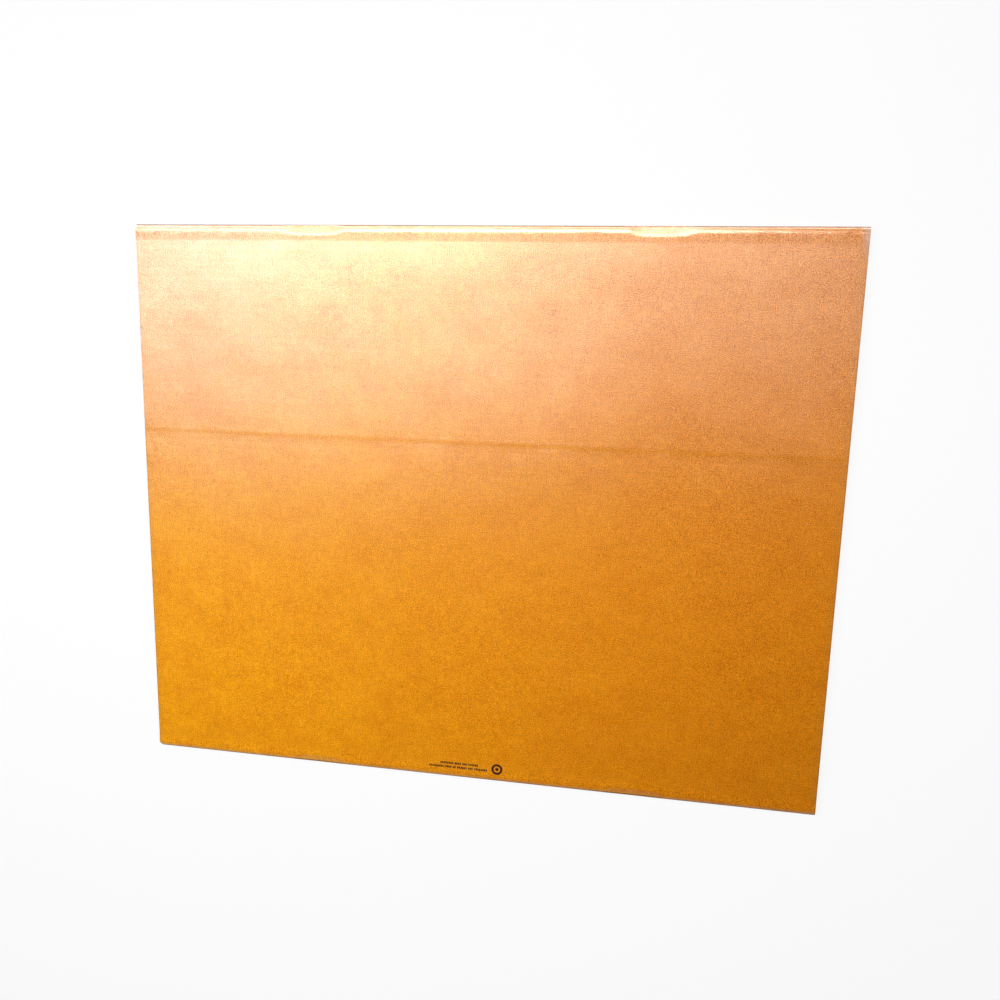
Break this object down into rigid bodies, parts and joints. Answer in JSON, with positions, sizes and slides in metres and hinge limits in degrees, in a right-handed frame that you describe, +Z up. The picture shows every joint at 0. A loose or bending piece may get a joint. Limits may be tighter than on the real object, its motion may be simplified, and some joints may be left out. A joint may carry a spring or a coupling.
{
  "type": "flattened cardboard box",
  "caption": "Corrugated cardboard box folded flat, lying on its back, with two folded edges, a scored front and a glued seam underneath.",
  "frame": {"origin": "middle of the underside, in the plane that the box lies on", "axes": "+X along the folded edges, +Y towards the folded edge nearer the score on the front, +Z up out of the front"},
  "size_m": [0.6, 0.48, 0.0078],
  "materials": {
    "kraft_board": "satin"
  },
  "bodies": {
    "root": {"flattened_box": "kraft_board"}
  },
  "joints": []
}
